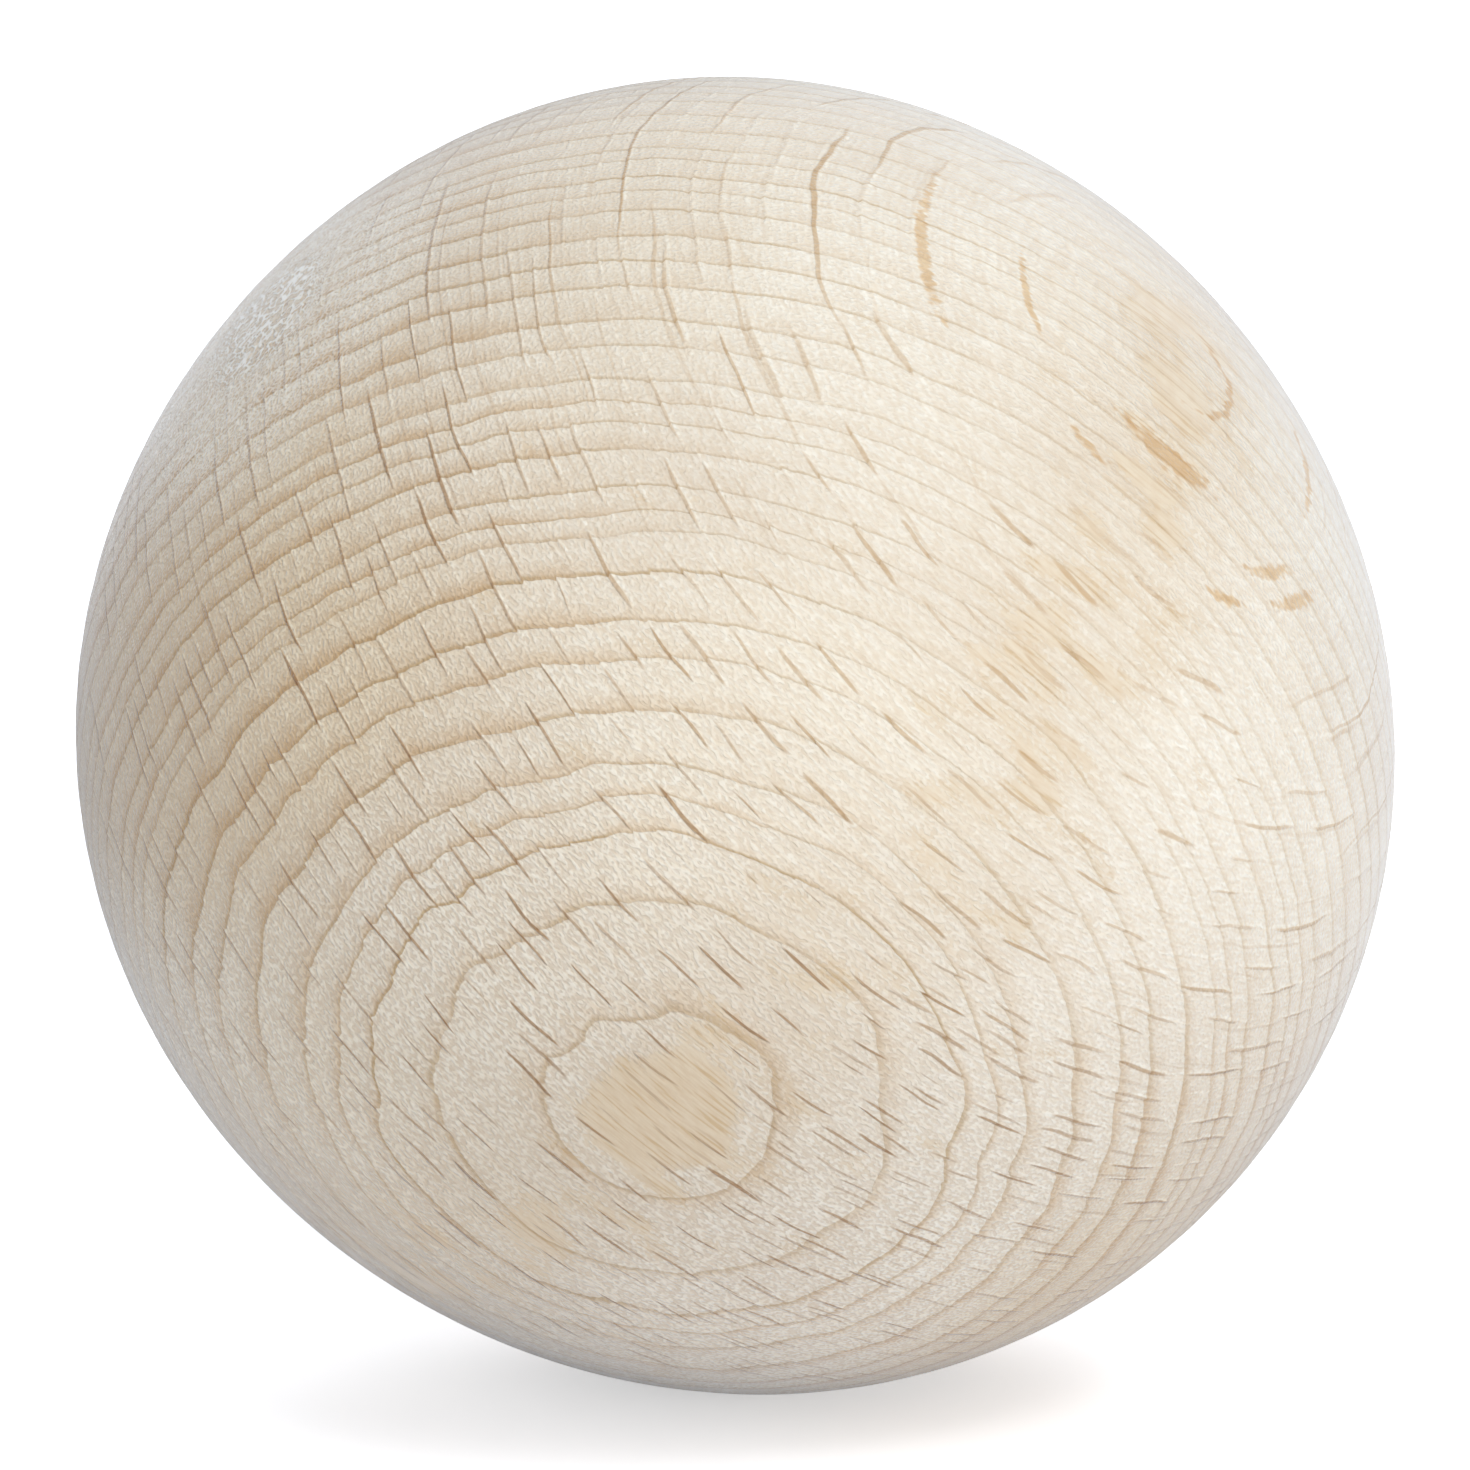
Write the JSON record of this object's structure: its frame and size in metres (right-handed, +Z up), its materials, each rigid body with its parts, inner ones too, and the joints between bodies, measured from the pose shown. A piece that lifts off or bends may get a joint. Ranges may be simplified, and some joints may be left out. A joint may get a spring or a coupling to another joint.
{
  "type": "wooden ball",
  "caption": "Solid turned wooden ball of pale untreated beech, one piece with no hole, a touch longer along its grain than across it.",
  "frame": {"origin": "centre of the ball", "axes": "+Z up as the ball is seen, +X to the viewer's right, -Y towards the viewer; the grain leans in this frame, 40 degrees above level and to the left"},
  "size_m": [0.0494, 0.0492, 0.0492],
  "materials": {
    "beech": "raw, sanded and lightly tumbled, with no oil or lacquer"
  },
  "bodies": {
    "root": {"ball": "beech"}
  },
  "joints": []
}
